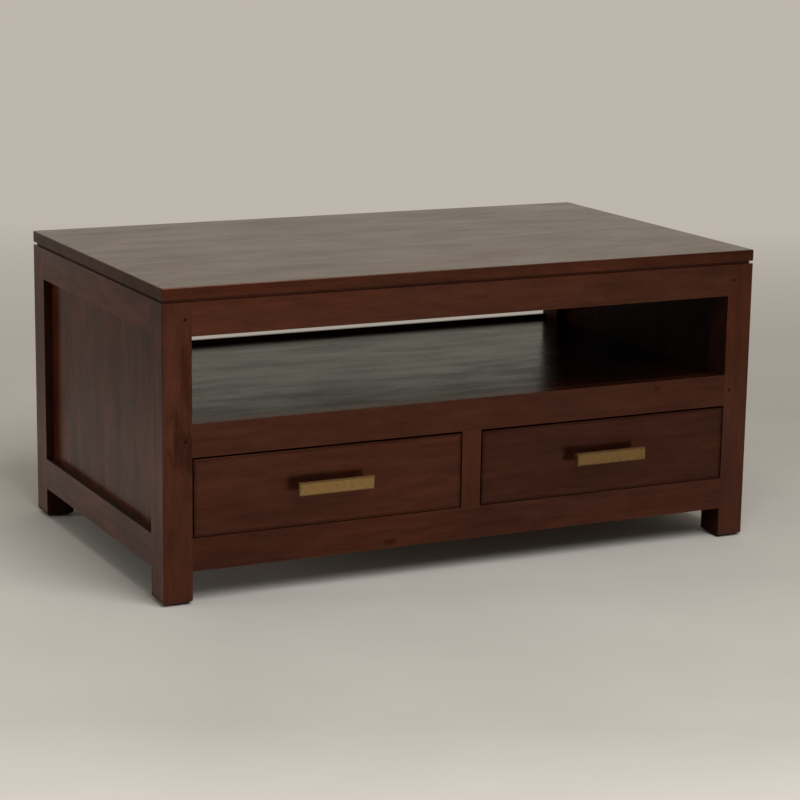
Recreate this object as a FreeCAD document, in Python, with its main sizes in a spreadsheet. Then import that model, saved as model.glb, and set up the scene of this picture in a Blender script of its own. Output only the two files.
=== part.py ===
import FreeCAD, Part
import os
from types import SimpleNamespace

import Sketcher
from FreeCAD import Placement, Rotation, Vector

# A low wooden coffee table: a frame of legs and rails with panelled sides, a shelf that is open
# at the front and the back, and two drawers with flat brass handles under the shelf.
# X runs to the right, Y to the back and Z up, in millimetres. The origin lies on the floor under
# the middle of the table's outer box, handles included.

DIMENSIONS = {
    # Outer size, and the heights at the front from the floor up
    "table_width": 1000,
    "table_depth": 590,
    "foot_clearance": 50,
    "bottom_rail_height": 50,
    "drawer_opening_height": 120,
    "middle_rail_height": 50,
    "shelf_opening_height": 128,
    "top_rail_height": 50,
    "shadow_gap_height": 4,
    "shadow_gap_depth": 5,
    "top_edge_height": 18,
    "top_edge_round": 1.5,
    # Legs, rails and panels
    "leg_depth": 50,
    "leg_corner_round": 2,
    "rail_thickness": 23,
    "side_rail_thickness": 13,
    "side_panel_thickness": 12,
    "side_panel_setback": 10,
    "rear_panel_thickness": 8,
    "rear_lip_thickness": 7,
    "divider_width": 32,
    "shelf_thickness": 15,
    "shelf_lip": 9,
    # Joints of the frame
    "tenon_length": 20,
    "tenon_thickness": 8,
    "stub_tenon_length": 10,
    "groove_depth": 8,
    "peg_radius": 2.5,
    "peg_length": 20,
    "fastener_clearance": 0.05,
    # Feet
    "foot_chamfer": 5,
    "glide_radius": 13,
    "glide_height": 1.5,
    "glide_nail_radius": 1.5,
    "glide_nail_length": 15,
    # Cleats and screws under the top
    "cleat_size": 22,
    "top_screw_radius": 2,
    "top_screw_grip": 14,
    "top_screw_head_radius": 4,
    "top_screw_head_height": 3,
    # Drawer runners, guides and stops
    "runner_width": 25,
    "runner_height": 20,
    "runner_rise": 0.7,
    "guide_thickness": 20,
    "guide_height": 20,
    "stop_length": 20,
    "stop_height": 12,
    # Running gaps round the drawers
    "slide_clearance": 0.3,
    "drawer_side_gap": 2,
    "drawer_top_gap": 3,
    # Drawer boxes
    "drawer_front_thickness": 20,
    "drawer_front_round": 0.5,
    "drawer_front_lap": 6,
    "drawer_side_thickness": 12,
    "drawer_side_drop": 3,
    "drawer_back_thickness": 12,
    "drawer_back_inset": 10,
    "drawer_back_drop": 5,
    "drawer_dado_depth": 4,
    "drawer_bottom_thickness": 6,
    "drawer_bottom_rise": 10,
    "drawer_bottom_groove": 5,
    "bottom_screw_radius": 1.2,
    "bottom_screw_grip": 12,
    "bottom_screw_head_radius": 2.5,
    "bottom_screw_head_height": 1.5,
    # Handles
    "handle_bar_length": 122,
    "handle_bar_height": 20,
    "handle_bar_thickness": 6,
    "handle_bar_chamfer": 2,
    "handle_post_radius": 5,
    "handle_post_length": 19,
    "handle_post_inset": 13,
    "handle_rise": 3,
    "handle_screw_radius": 2,
    "handle_screw_grip": 12,
    "handle_screw_head_radius": 4,
    "handle_screw_head_height": 3,
}

TAIL_COUNT = 3
TAIL_WIDTH_SHARE = 0.5
TAIL_SLOPE_SHARE = 0.15
STUB_WIDTH_SHARE = 0.5
HOUSING_DEPTH_SHARE = 0.25
TOP_SCREWS_PER_CLEAT = 4
SCREWS_PER_DRAWER_BOTTOM = 3

LEFT, RIGHT = -1, 1
FRONT, REAR = -1, 1
SIDES = {"left": LEFT, "right": RIGHT}
ENDS = {"front": FRONT, "rear": REAR}

QUARTER_TURN_DEGREES = 90
ALONG_Y = Rotation(Vector(1, 0, 0), -QUARTER_TURN_DEGREES)
ALONG_Z = Rotation()
EDGE_TOLERANCE = 1e-6
MOST_NODES_COUNT = 60

# A sketch's codes: its origin is the first point of its axis, and a point's code is its place in the list
SKETCH_AXIS_INDEX = -1
LINE_POINTS = ("edge", "start", "end")
START_POINT = LINE_POINTS.index("start")
END_POINT = LINE_POINTS.index("end")


class Size:
    """A length and the sheet expression that it comes from, so that sums stay bound to the sheet."""

    def __init__(self, text, value):
        self.text = text
        self.value = value

    def __add__(self, other):
        return Size(f"({self.text} + {other.text})", self.value + other.value)

    def __sub__(self, other):
        return Size(f"({self.text} - {other.text})", self.value - other.value)

    def __mul__(self, factor):
        return Size(f"{self.text} * {factor}", self.value * factor)

    __rmul__ = __mul__

    def __truediv__(self, divisor):
        return Size(f"{self.text} / {divisor}", self.value / divisor)

    def __neg__(self):
        return ZERO - self


ZERO = Size("0", 0)

doc = FreeCAD.newDocument("coffee_table")
sheet = doc.addObject("Spreadsheet::Sheet", "dims")
for row, (alias, number) in enumerate(DIMENSIONS.items(), start=1):
    sheet.set(f"A{row}", alias)
    sheet.set(f"B{row}", str(number))
    sheet.setAlias(f"B{row}", alias)
doc.recompute()
dim = SimpleNamespace(**{alias: Size(f"dims.{alias}", number) for alias, number in DIMENSIONS.items()})
nodes = []

# Places in plan: a leg is as wide as the side rail, the side panel and the drawer guide behind it
leg_width = dim.side_rail_thickness + dim.side_panel_thickness + dim.guide_thickness
half_width = dim.table_width / 2
clear_width = dim.table_width - 2 * leg_width
panel_inside = dim.side_rail_thickness + dim.side_panel_thickness
handle_projection = dim.handle_post_length + dim.handle_bar_thickness
back_face = (dim.table_depth + handle_projection) / 2
front_face = back_face - dim.table_depth
outer_face = {FRONT: front_face, REAR: back_face}
rail_inside_rear = dim.table_depth - dim.rail_thickness
leg_inside_rear = dim.table_depth - dim.leg_depth
between_rails = (dim.rail_thickness, rail_inside_rear)
between_legs = (dim.leg_depth, leg_inside_rear)

# Levels, from the floor up
bottom_rail_top = dim.foot_clearance + dim.bottom_rail_height
middle_rail_low = bottom_rail_top + dim.drawer_opening_height
middle_rail_top = middle_rail_low + dim.middle_rail_height
top_rail_low = middle_rail_top + dim.shelf_opening_height
frame_top = top_rail_low + dim.top_rail_height
top_thickness = dim.shadow_gap_height + dim.top_edge_height
shelf_top = middle_rail_top - dim.shelf_lip
shelf_low = shelf_top - dim.shelf_thickness
runner_top = bottom_rail_top + dim.runner_rise
drawer_low = runner_top + dim.slide_clearance
RAILS = {
    "top": (top_rail_low, dim.top_rail_height),
    "middle": (middle_rail_low, dim.middle_rail_height),
    "bottom": (dim.foot_clearance, dim.bottom_rail_height),
}
PEGGED_RAILS = ("top", "middle")
SIDE_RAILS = ("top", "bottom")

# Joints: distances inward from an outer face
tenon_across = (
    (dim.rail_thickness - dim.tenon_thickness) / 2,
    (dim.rail_thickness + dim.tenon_thickness) / 2,
)
side_tenon_across = (
    (dim.side_rail_thickness - dim.tenon_thickness) / 2,
    (dim.side_rail_thickness + dim.tenon_thickness) / 2,
)
rear_panel_across = (
    (dim.rail_thickness - dim.rear_panel_thickness) / 2,
    (dim.rail_thickness + dim.rear_panel_thickness) / 2,
)
side_panel_levels = (dim.foot_clearance + dim.side_panel_setback, frame_top - dim.side_panel_setback)
peg_from_side = leg_width - dim.tenon_length / 2
peg_hole_radius = dim.peg_radius + dim.fastener_clearance
housing_depth = dim.rail_thickness * HOUSING_DEPTH_SHARE
divider_tenon_width = dim.divider_width * STUB_WIDTH_SHARE
runner_tongue_low = dim.runner_height * (1 - STUB_WIDTH_SHARE) / 2
runner_tongue_high = dim.runner_height - runner_tongue_low

# Drawers, measured from the middle of the opening's width, the front face and the drawer's lower edge
opening_width = half_width - leg_width - dim.divider_width / 2
drawer_middle = dim.divider_width / 2 + opening_width / 2
drawer_width = opening_width - 2 * dim.drawer_side_gap
drawer_height = middle_rail_low - dim.drawer_top_gap - drawer_low
drawer_length = rail_inside_rear - dim.stop_length - dim.slide_clearance
drawer_inside = drawer_width - 2 * dim.drawer_side_thickness
side_height = drawer_height - dim.drawer_side_drop
bottom_levels = (dim.drawer_bottom_rise, dim.drawer_bottom_rise + dim.drawer_bottom_thickness)
back_levels = (bottom_levels[1], side_height - dim.drawer_back_drop)
back_rear = drawer_length - dim.drawer_back_inset
back_depths = (back_rear - dim.drawer_back_thickness, back_rear)
back_middle = back_rear - dim.drawer_back_thickness / 2
bottom_groove_start = dim.drawer_front_thickness - dim.drawer_bottom_groove
handle_level = drawer_height / 2 + dim.handle_rise
post_spacing = dim.handle_bar_length - 2 * dim.handle_post_inset


# Helpers


def inward(low, high, side):
    """The span from low to high, measured inward from the outer face on that side."""
    if side < 0:
        return low, high
    return -high, -low


def centred(size):
    return -(size / 2), size / 2


def spread(count, length):
    """Places evenly spread along a length that is centred on zero."""
    return [length * ((index + 0.5) / count - 0.5) for index in range(count)]


def place(thing, x, y, z):
    for axis, size in zip("xyz", (x, y, z)):
        thing.setExpression(f"Placement.Base.{axis}", size.text)


def new_body(label, x, y, z):
    body = doc.addObject("PartDesign::Body", label)
    body.Label = label
    place(body, x, y, z)
    nodes.append(body)
    return body


def attach(feature, body, role, rotation, offsets):
    plane = next(plane for plane in body.Origin.OriginFeatures if plane.Role == role)
    feature.AttachmentSupport = [(plane, "")]
    feature.MapMode = "FlatFace"
    feature.AttachmentOffset = Placement(Vector(), rotation)
    for axis, size in zip("xyz", offsets):
        feature.setExpression(f"AttachmentOffset.Base.{axis}", size.text)


def box_feature(body, kind, name, spans):
    feature = body.newObject(f"PartDesign::{kind}Box", name)
    attach(feature, body, "XY_Plane", Rotation(), [low for low, high in spans])
    for edge, (low, high) in zip(("Length", "Width", "Height"), spans):
        feature.setExpression(edge, (high - low).text)


def add_box(body, name, x, y, z):
    box_feature(body, "Additive", name, (x, y, z))


def cut_box(body, name, x, y, z):
    box_feature(body, "Subtractive", name, (x, y, z))


def cut_hole(body, name, axis, radius, length, x, y, z):
    feature = body.newObject("PartDesign::SubtractiveCylinder", name)
    attach(feature, body, "XY_Plane", axis, (x, y, z))
    feature.setExpression("Radius", radius.text)
    feature.setExpression("Height", length.text)


def dress_edges(body, kind, name, size, chosen):
    """Chamfer or fillet those edges of the body so far whose bounding box is chosen."""
    doc.recompute()
    base = body.Tip
    edges = enumerate(base.Shape.Edges, start=1)
    edge_names = [f"Edge{number}" for number, edge in edges if chosen(edge.BoundBox)]
    feature = body.newObject(f"PartDesign::{kind}", name)
    feature.Base = (base, edge_names)
    feature.setExpression("Size" if kind == "Chamfer" else "Radius", size.text)


def lies_at(span, place):
    """Whether both ends of a span lie at a place."""
    return all(abs(end - place) < EDGE_TOLERANCE for end in span)


def upright_sketch(body, name, x, outlines):
    """Closed outlines of (Y, Z) points in the upright plane that crosses the X axis at x."""
    sketch = body.newObject("Sketcher::SketchObject", name)
    attach(sketch, body, "YZ_Plane", Rotation(), (ZERO, ZERO, x))
    for outline in outlines:
        first = sketch.GeometryCount
        corners = [Vector(across.value, up.value, 0) for across, up in outline]
        for start, end in zip(corners, corners[1:] + corners[:1]):
            sketch.addGeometry(Part.LineSegment(start, end))
        for index, point in enumerate(outline):
            line = first + index
            after = first + (index + 1) % len(outline)
            sketch.addConstraint(Sketcher.Constraint("Coincident", line, END_POINT, after, START_POINT))
            for kind, size in zip(("DistanceX", "DistanceY"), point):
                ends = (SKETCH_AXIS_INDEX, START_POINT, line, START_POINT)
                number = sketch.addConstraint(Sketcher.Constraint(kind, *ends, size.value))
                if size is not ZERO:
                    sketch.setExpression(f"Constraints[{number}]", size.text)
    return sketch


def cylinder(name, axis, radius, length, x, y, z):
    solid = doc.addObject("Part::Cylinder", name)
    solid.setExpression("Radius", radius.text)
    solid.setExpression("Height", length.text)
    solid.Placement = Placement(Vector(), axis)
    place(solid, x, y, z)
    return solid


def block(name, x, y, z):
    solid = doc.addObject("Part::Box", name)
    for edge, (low, high) in zip(("Length", "Width", "Height"), (x, y, z)):
        solid.setExpression(edge, (high - low).text)
    place(solid, x[0], y[0], z[0])
    return solid


def fuse(name, first, second):
    solid = doc.addObject("Part::Fuse", name)
    solid.Base = first
    solid.Tool = second
    return solid


def group(label, solids):
    compound = doc.addObject("Part::Compound", label)
    compound.Label = label
    compound.Links = solids
    nodes.append(compound)


# Top


def top_screw_places(end):
    """The screws through one cleat into the top: X, and Y from the outer face of that end."""
    depth = -end * (dim.rail_thickness + dim.cleat_size / 2)
    return [(x, depth) for x in spread(TOP_SCREWS_PER_CLEAT, clear_width)]


def on_top_edge(box):
    """Whether an edge lies on one of the four outer faces of the board."""
    across = [lies_at((box.XMin, box.XMax), side * half_width.value) for side in SIDES.values()]
    along = [lies_at((box.YMin, box.YMax), depth) for depth in (ZERO.value, dim.table_depth.value)]
    return any(across + along)


def make_top_board():
    """The board stands over the frame on a slightly smaller seat, which leaves the shadow gap."""
    body = new_body("top_board", ZERO, front_face, frame_top)
    seat_depths = (dim.shadow_gap_depth, dim.table_depth - dim.shadow_gap_depth)
    add_box(body, "seat", centred(dim.table_width - 2 * dim.shadow_gap_depth), seat_depths,
            (ZERO, dim.shadow_gap_height))
    add_box(body, "board", centred(dim.table_width), (ZERO, dim.table_depth),
            (dim.shadow_gap_height, top_thickness))
    dress_edges(body, "Fillet", "edge_round", dim.top_edge_round, on_top_edge)
    for end in ENDS.values():
        for x, depth in top_screw_places(end):
            cut_hole(body, "pilot_hole", ALONG_Z, dim.top_screw_radius + dim.fastener_clearance,
                     dim.top_screw_grip, x, outer_face[end] - front_face + depth, ZERO)


def make_top_cleats():
    for name, end in ENDS.items():
        body = new_body(f"{name}_top_cleat", ZERO, outer_face[end], frame_top - dim.cleat_size)
        depths = inward(dim.rail_thickness, dim.rail_thickness + dim.cleat_size, end)
        add_box(body, "strip", centred(clear_width), depths, (ZERO, dim.cleat_size))
        for x, depth in top_screw_places(end):
            cut_hole(body, "screw_hole", ALONG_Z, dim.top_screw_radius + dim.fastener_clearance,
                     dim.cleat_size, x, depth, ZERO)


def make_top_screws():
    screws = []
    cleat_low = frame_top - dim.cleat_size
    for end in ENDS.values():
        for x, depth in top_screw_places(end):
            y = outer_face[end] + depth
            shank = cylinder("top_screw_shank", ALONG_Z, dim.top_screw_radius,
                             dim.cleat_size + dim.top_screw_grip, x, y, cleat_low)
            head = cylinder("top_screw_head", ALONG_Z, dim.top_screw_head_radius,
                            dim.top_screw_head_height, x, y, cleat_low - dim.top_screw_head_height)
            screws.append(fuse("top_screw", shank, head))
    group("top_fixing_screws", screws)


# Frame


def tenon_levels(level):
    """A tenon is shorter than its rail by a groove's depth above and below."""
    low, height = RAILS[level]
    return low + dim.groove_depth, low + height - dim.groove_depth


def on_outer_corner(box):
    """Whether an edge is the upright one between a leg's two outer faces."""
    return lies_at((box.XMin, box.XMax, box.YMin, box.YMax), ZERO.value)


def make_leg(end_name, side_name):
    """A leg, measured inward from its two outer faces, with its mortises and panel grooves."""
    end = ENDS[end_name]
    side = SIDES[side_name]
    body = new_body(f"{end_name}_{side_name}_leg", side * half_width, outer_face[end], ZERO)
    add_box(body, "post", inward(ZERO, leg_width, side), inward(ZERO, dim.leg_depth, end),
            (dim.glide_height, frame_top))
    sole = dim.glide_height.value + EDGE_TOLERANCE
    dress_edges(body, "Chamfer", "foot_chamfer", dim.foot_chamfer, lambda box: box.ZMax < sole)
    dress_edges(body, "Fillet", "corner_round", dim.leg_corner_round, on_outer_corner)
    for level, (low, height) in RAILS.items():
        cut_box(body, f"{level}_cross_mortise", inward(leg_width - dim.tenon_length, leg_width, side),
                inward(*tenon_across, end), tenon_levels(level))
        if level in SIDE_RAILS:
            cut_box(body, f"{level}_side_mortise", inward(*side_tenon_across, side),
                    inward(dim.leg_depth - dim.tenon_length, dim.leg_depth, end), tenon_levels(level))
        if level in PEGGED_RAILS:
            cut_hole(body, f"{level}_peg_hole", ALONG_Y, peg_hole_radius, dim.peg_length,
                     -side * peg_from_side, inward(ZERO, dim.peg_length, end)[0], low + height / 2)
    cut_box(body, "side_panel_groove", inward(dim.side_rail_thickness, panel_inside, side),
            inward(dim.leg_depth - dim.groove_depth, dim.leg_depth, end), side_panel_levels)
    if end == REAR:
        cut_box(body, "rear_panel_groove", inward(leg_width - dim.groove_depth, leg_width, side),
                inward(*rear_panel_across, end),
                (bottom_rail_top - dim.groove_depth, middle_rail_low + dim.groove_depth))
    cut_hole(body, "nail_hole", ALONG_Z, dim.glide_nail_radius + dim.fastener_clearance,
             dim.glide_nail_length, -side * leg_width / 2, -end * dim.leg_depth / 2, dim.glide_height)


def make_cross_rail(end_name, level):
    """A rail between two legs along X, from its outer face and its lower edge."""
    end = ENDS[end_name]
    low, height = RAILS[level]
    body = new_body(f"{end_name}_{level}_rail", ZERO, outer_face[end], low)
    add_box(body, "rail", centred(clear_width), inward(ZERO, dim.rail_thickness, end), (ZERO, height))
    add_box(body, "tenons", centred(clear_width + 2 * dim.tenon_length), inward(*tenon_across, end),
            (dim.groove_depth, height - dim.groove_depth))
    if level in PEGGED_RAILS:
        hole_start = inward(ZERO, dim.peg_length, end)[0]
        for side in SIDES.values():
            cut_hole(body, "peg_hole", ALONG_Y, peg_hole_radius, dim.peg_length,
                     side * (half_width - peg_from_side), hole_start, height / 2)
    if level == "middle" and end == FRONT:
        cut_box(body, "shelf_groove", centred(clear_width),
                (dim.rail_thickness - dim.groove_depth, dim.rail_thickness),
                (shelf_low - low, shelf_top - low))
    if level == "middle" and end == REAR:
        cut_box(body, "shelf_rebate", centred(clear_width),
                inward(dim.rear_lip_thickness, dim.rail_thickness, end), (shelf_low - low, height))
    if level == "bottom":
        housing = inward(dim.rail_thickness - housing_depth, dim.rail_thickness, end)
        runner_low = runner_top - dim.runner_height - low
        for track in drawer_tracks().values():
            cut_box(body, "runner_housing", track, housing,
                    (runner_low + runner_tongue_low, runner_low + runner_tongue_high))
    cut_drawer_side_joints(body, end, level, height)


def cut_drawer_side_joints(body, end, level, height):
    """What the rails above and below the drawers hold: the divider in front, the panel at the rear."""
    if level == "top":
        return
    depth = dim.stub_tenon_length if end == FRONT else dim.groove_depth
    levels = (ZERO, depth) if level == "middle" else (height - depth, height)
    if end == FRONT:
        cut_box(body, "divider_mortise", centred(divider_tenon_width), tenon_across, levels)
    else:
        cut_box(body, "panel_groove", centred(clear_width), inward(*rear_panel_across, end), levels)


def make_side_rail(side_name, level):
    """A rail between two legs along Y, from its outer face and its lower edge."""
    side = SIDES[side_name]
    low, height = RAILS[level]
    body = new_body(f"{side_name}_{level}_rail", side * half_width, front_face, low)
    add_box(body, "rail", inward(ZERO, dim.side_rail_thickness, side), between_legs, (ZERO, height))
    add_box(body, "tenons", inward(*side_tenon_across, side),
            (dim.leg_depth - dim.tenon_length, leg_inside_rear + dim.tenon_length),
            (dim.groove_depth, height - dim.groove_depth))


def make_side_panel(side_name):
    """A panel behind the side rails, with its upright edges in the legs' grooves."""
    side = SIDES[side_name]
    body = new_body(f"{side_name}_side_panel", side * half_width, front_face, ZERO)
    add_box(body, "panel", inward(dim.side_rail_thickness, panel_inside, side),
            (dim.leg_depth - dim.groove_depth, leg_inside_rear + dim.groove_depth), side_panel_levels)


def make_rear_panel():
    body = new_body("rear_panel", ZERO, back_face, bottom_rail_top)
    add_box(body, "panel", centred(clear_width + 2 * dim.groove_depth), inward(*rear_panel_across, REAR),
            (-dim.groove_depth, dim.drawer_opening_height + dim.groove_depth))


def make_divider():
    body = new_body("drawer_divider", ZERO, front_face, bottom_rail_top)
    add_box(body, "post", centred(dim.divider_width), (ZERO, dim.rail_thickness),
            (ZERO, dim.drawer_opening_height))
    add_box(body, "tenons", centred(divider_tenon_width), tenon_across,
            (-dim.stub_tenon_length, dim.drawer_opening_height + dim.stub_tenon_length))


def make_shelf():
    """The shelf runs between the side panels, from the front rail's groove to the rear rail's lip."""
    body = new_body("shelf_board", ZERO, front_face, shelf_low)
    add_box(body, "board", centred(dim.table_width - 2 * panel_inside), between_legs,
            (ZERO, dim.shelf_thickness))
    add_box(body, "tongues", centred(clear_width),
            (dim.rail_thickness - dim.groove_depth, dim.table_depth - dim.rear_lip_thickness),
            (ZERO, dim.shelf_thickness))


def make_joint_pegs():
    pegs = []
    for end in ENDS.values():
        depth = inward(ZERO, dim.peg_length, end)[0]
        for side in SIDES.values():
            for level in PEGGED_RAILS:
                low, height = RAILS[level]
                pegs.append(cylinder("peg", ALONG_Y, dim.peg_radius, dim.peg_length,
                                     side * (half_width - peg_from_side), outer_face[end] + depth,
                                     low + height / 2))
    group("joint_pegs", pegs)


def make_foot_glides():
    glides = []
    for end in ENDS.values():
        y = outer_face[end] - end * dim.leg_depth / 2
        for side in SIDES.values():
            x = side * (half_width - leg_width / 2)
            disc = cylinder("glide_disc", ALONG_Z, dim.glide_radius, dim.glide_height, x, y, ZERO)
            nail = cylinder("glide_nail", ALONG_Z, dim.glide_nail_radius,
                            dim.glide_height + dim.glide_nail_length, x, y, ZERO)
            glides.append(fuse("glide", disc, nail))
    group("foot_glides", glides)


# What the drawers run on


def drawer_tracks():
    """The X spans under the drawers' sides: beside each leg, and one shared span in the middle."""
    outer_edge = half_width - leg_width
    inner_edge = outer_edge - dim.runner_width
    return {
        "left": (-outer_edge, -inner_edge),
        "centre": centred(dim.divider_width + 2 * dim.runner_width),
        "right": (inner_edge, outer_edge),
    }


def make_runners():
    for name, track in drawer_tracks().items():
        body = new_body(f"{name}_drawer_runner", ZERO, front_face, runner_top - dim.runner_height)
        tongue_ends = (dim.rail_thickness - housing_depth, rail_inside_rear + housing_depth)
        add_box(body, "strip", track, between_rails, (ZERO, dim.runner_height))
        add_box(body, "tongues", track, tongue_ends, (runner_tongue_low, runner_tongue_high))


def make_guides():
    """Strips beside the drawers: on the side panels, level with the legs, and behind the divider."""
    levels = (ZERO, dim.guide_height)
    for name, side in SIDES.items():
        body = new_body(f"{name}_drawer_guide", side * half_width, front_face, runner_top)
        add_box(body, "strip", inward(panel_inside, leg_width, side), between_legs, levels)
    body = new_body("centre_drawer_guide", ZERO, front_face, runner_top)
    add_box(body, "strip", centred(dim.divider_width), between_rails, levels)


def make_kickers():
    """Strips under the shelf that keep an open drawer from tipping."""
    for name, track in drawer_tracks().items():
        body = new_body(f"{name}_drawer_kicker", ZERO, front_face, middle_rail_low)
        add_box(body, "strip", track, between_rails, (ZERO, shelf_low - middle_rail_low))


def make_drawer_stops():
    """Blocks on the runners' rear ends, one behind each drawer side."""
    stops = []
    stop_rear = back_face - dim.rail_thickness
    depths = (stop_rear - dim.stop_length, stop_rear)
    levels = (runner_top, runner_top + dim.stop_height)
    stop_width = dim.runner_width - dim.drawer_side_gap
    for drawer_side in SIDES.values():
        for board_side in SIDES.values():
            edge = drawer_side * drawer_middle + board_side * drawer_width / 2
            low, high = inward(ZERO, stop_width, board_side)
            stops.append(block("stop", (edge + low, edge + high), depths, levels))
    group("drawer_stops", stops)


# Drawers


def tail_outlines():
    """The dovetails at the front of a drawer side, from the lowest up, as (Y, Z) corners."""
    pitch = side_height / TAIL_COUNT
    tail_length = dim.drawer_front_thickness - dim.drawer_front_lap
    neck = pitch * TAIL_WIDTH_SHARE
    tip = neck + 2 * TAIL_SLOPE_SHARE * tail_length
    outlines = []
    for index in range(TAIL_COUNT):
        middle = pitch * (index + 0.5)
        outlines.append([
            (dim.drawer_front_thickness, middle - neck / 2),
            (dim.drawer_front_lap, middle - tip / 2),
            (dim.drawer_front_lap, middle + tip / 2),
            (dim.drawer_front_thickness, middle + neck / 2),
        ])
    return outlines


def handle_screw_places():
    return [side * post_spacing / 2 for side in SIDES.values()]


def on_front_face(box):
    return lies_at((box.YMin, box.YMax), ZERO.value)


def make_drawer_front(drawer, x):
    body = new_body(f"{drawer}_front", x, front_face, drawer_low)
    add_box(body, "board", centred(drawer_width), (ZERO, dim.drawer_front_thickness),
            (ZERO, drawer_height))
    dress_edges(body, "Fillet", "edge_round", dim.drawer_front_round, on_front_face)
    for side in SIDES.values():
        sketch = upright_sketch(body, "sockets_outline", side * drawer_width / 2, tail_outlines())
        pocket = body.newObject("PartDesign::Pocket", "sockets")
        pocket.Profile = sketch
        pocket.Reversed = side == LEFT
        pocket.setExpression("Length", dim.drawer_side_thickness.text)
    cut_box(body, "bottom_groove", centred(drawer_inside + 2 * dim.drawer_bottom_groove),
            (bottom_groove_start, dim.drawer_front_thickness), bottom_levels)
    for place_x in handle_screw_places():
        cut_hole(body, "screw_hole", ALONG_Y, dim.handle_screw_radius + dim.fastener_clearance,
                 dim.drawer_front_thickness, place_x, ZERO, handle_level)


def make_drawer_side(drawer, x, side_name):
    side = SIDES[side_name]
    body = new_body(f"{drawer}_{side_name}_side", x + side * drawer_width / 2, front_face, drawer_low)
    outline = [(dim.drawer_front_thickness, ZERO)]
    for tail in tail_outlines():
        outline.extend(tail)
    outline.append((dim.drawer_front_thickness, side_height))
    outline.append((drawer_length, side_height))
    outline.append((drawer_length, ZERO))
    pad = body.newObject("PartDesign::Pad", "board")
    pad.Profile = upright_sketch(body, "board_outline", ZERO, [outline])
    pad.Reversed = side == RIGHT
    pad.setExpression("Length", dim.drawer_side_thickness.text)
    thickness = dim.drawer_side_thickness
    cut_box(body, "bottom_groove", inward(thickness - dim.drawer_bottom_groove, thickness, side),
            (dim.drawer_front_lap, drawer_length), bottom_levels)
    cut_box(body, "back_dado", inward(thickness - dim.drawer_dado_depth, thickness, side),
            back_depths, back_levels)


def make_drawer_back(drawer, x):
    body = new_body(f"{drawer}_back", x, front_face, drawer_low)
    add_box(body, "board", centred(drawer_inside + 2 * dim.drawer_dado_depth), back_depths, back_levels)
    for place_x in spread(SCREWS_PER_DRAWER_BOTTOM, drawer_inside):
        cut_hole(body, "pilot_hole", ALONG_Z, dim.bottom_screw_radius + dim.fastener_clearance,
                 dim.bottom_screw_grip, place_x, back_middle, back_levels[0])


def make_drawer_bottom(drawer, x):
    body = new_body(f"{drawer}_bottom", x, front_face, drawer_low)
    add_box(body, "board", centred(drawer_inside + 2 * dim.drawer_bottom_groove),
            (bottom_groove_start, back_rear), bottom_levels)
    for place_x in spread(SCREWS_PER_DRAWER_BOTTOM, drawer_inside):
        cut_hole(body, "screw_hole", ALONG_Z, dim.bottom_screw_radius + dim.fastener_clearance,
                 dim.drawer_bottom_thickness, place_x, back_middle, bottom_levels[0])


def make_bottom_screws(drawer, x):
    screws = []
    y = front_face + back_middle
    underside = drawer_low + bottom_levels[0]
    head_low = underside - dim.bottom_screw_head_height
    for place_x in spread(SCREWS_PER_DRAWER_BOTTOM, drawer_inside):
        shank = cylinder("bottom_screw_shank", ALONG_Z, dim.bottom_screw_radius,
                         dim.drawer_bottom_thickness + dim.bottom_screw_grip, x + place_x, y, underside)
        head = cylinder("bottom_screw_head", ALONG_Z, dim.bottom_screw_head_radius,
                        dim.bottom_screw_head_height, x + place_x, y, head_low)
        screws.append(fuse("bottom_screw", shank, head))
    group(f"{drawer}_bottom_screws", screws)


# Handles


def make_handle_bar(drawer, x):
    """A flat bar with a chamfered border round its front face."""
    body = new_body(f"{drawer}_handle_bar", x, front_face - handle_projection, drawer_low + handle_level)
    add_box(body, "bar", centred(dim.handle_bar_length), (ZERO, dim.handle_bar_thickness),
            centred(dim.handle_bar_height))
    dress_edges(body, "Chamfer", "border", dim.handle_bar_chamfer, on_front_face)


def make_handle_posts(drawer, x):
    posts = []
    z = drawer_low + handle_level
    for place_x in handle_screw_places():
        post = doc.addObject("Part::Cut", "handle_post")
        post.Base = cylinder("post_round", ALONG_Y, dim.handle_post_radius, dim.handle_post_length,
                             x + place_x, front_face - dim.handle_post_length, z)
        post.Tool = cylinder("post_hole", ALONG_Y, dim.handle_screw_radius + dim.fastener_clearance,
                             dim.handle_screw_grip, x + place_x, front_face - dim.handle_screw_grip, z)
        posts.append(post)
    group(f"{drawer}_handle_posts", posts)


def make_handle_screws(drawer, x):
    screws = []
    z = drawer_low + handle_level
    for place_x in handle_screw_places():
        shank = cylinder("handle_screw_shank", ALONG_Y, dim.handle_screw_radius,
                         dim.handle_screw_grip + dim.drawer_front_thickness,
                         x + place_x, front_face - dim.handle_screw_grip, z)
        head = cylinder("handle_screw_head", ALONG_Y, dim.handle_screw_head_radius,
                        dim.handle_screw_head_height, x + place_x, front_face + dim.drawer_front_thickness, z)
        screws.append(fuse("handle_screw", shank, head))
    group(f"{drawer}_handle_screws", screws)


def make_drawer(side_name):
    drawer = f"{side_name}_drawer"
    x = SIDES[side_name] * drawer_middle
    make_drawer_front(drawer, x)
    for board_side in SIDES:
        make_drawer_side(drawer, x, board_side)
    make_drawer_back(drawer, x)
    make_drawer_bottom(drawer, x)
    make_bottom_screws(drawer, x)
    make_handle_bar(drawer, x)
    make_handle_posts(drawer, x)
    make_handle_screws(drawer, x)


# Checks and files


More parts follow.
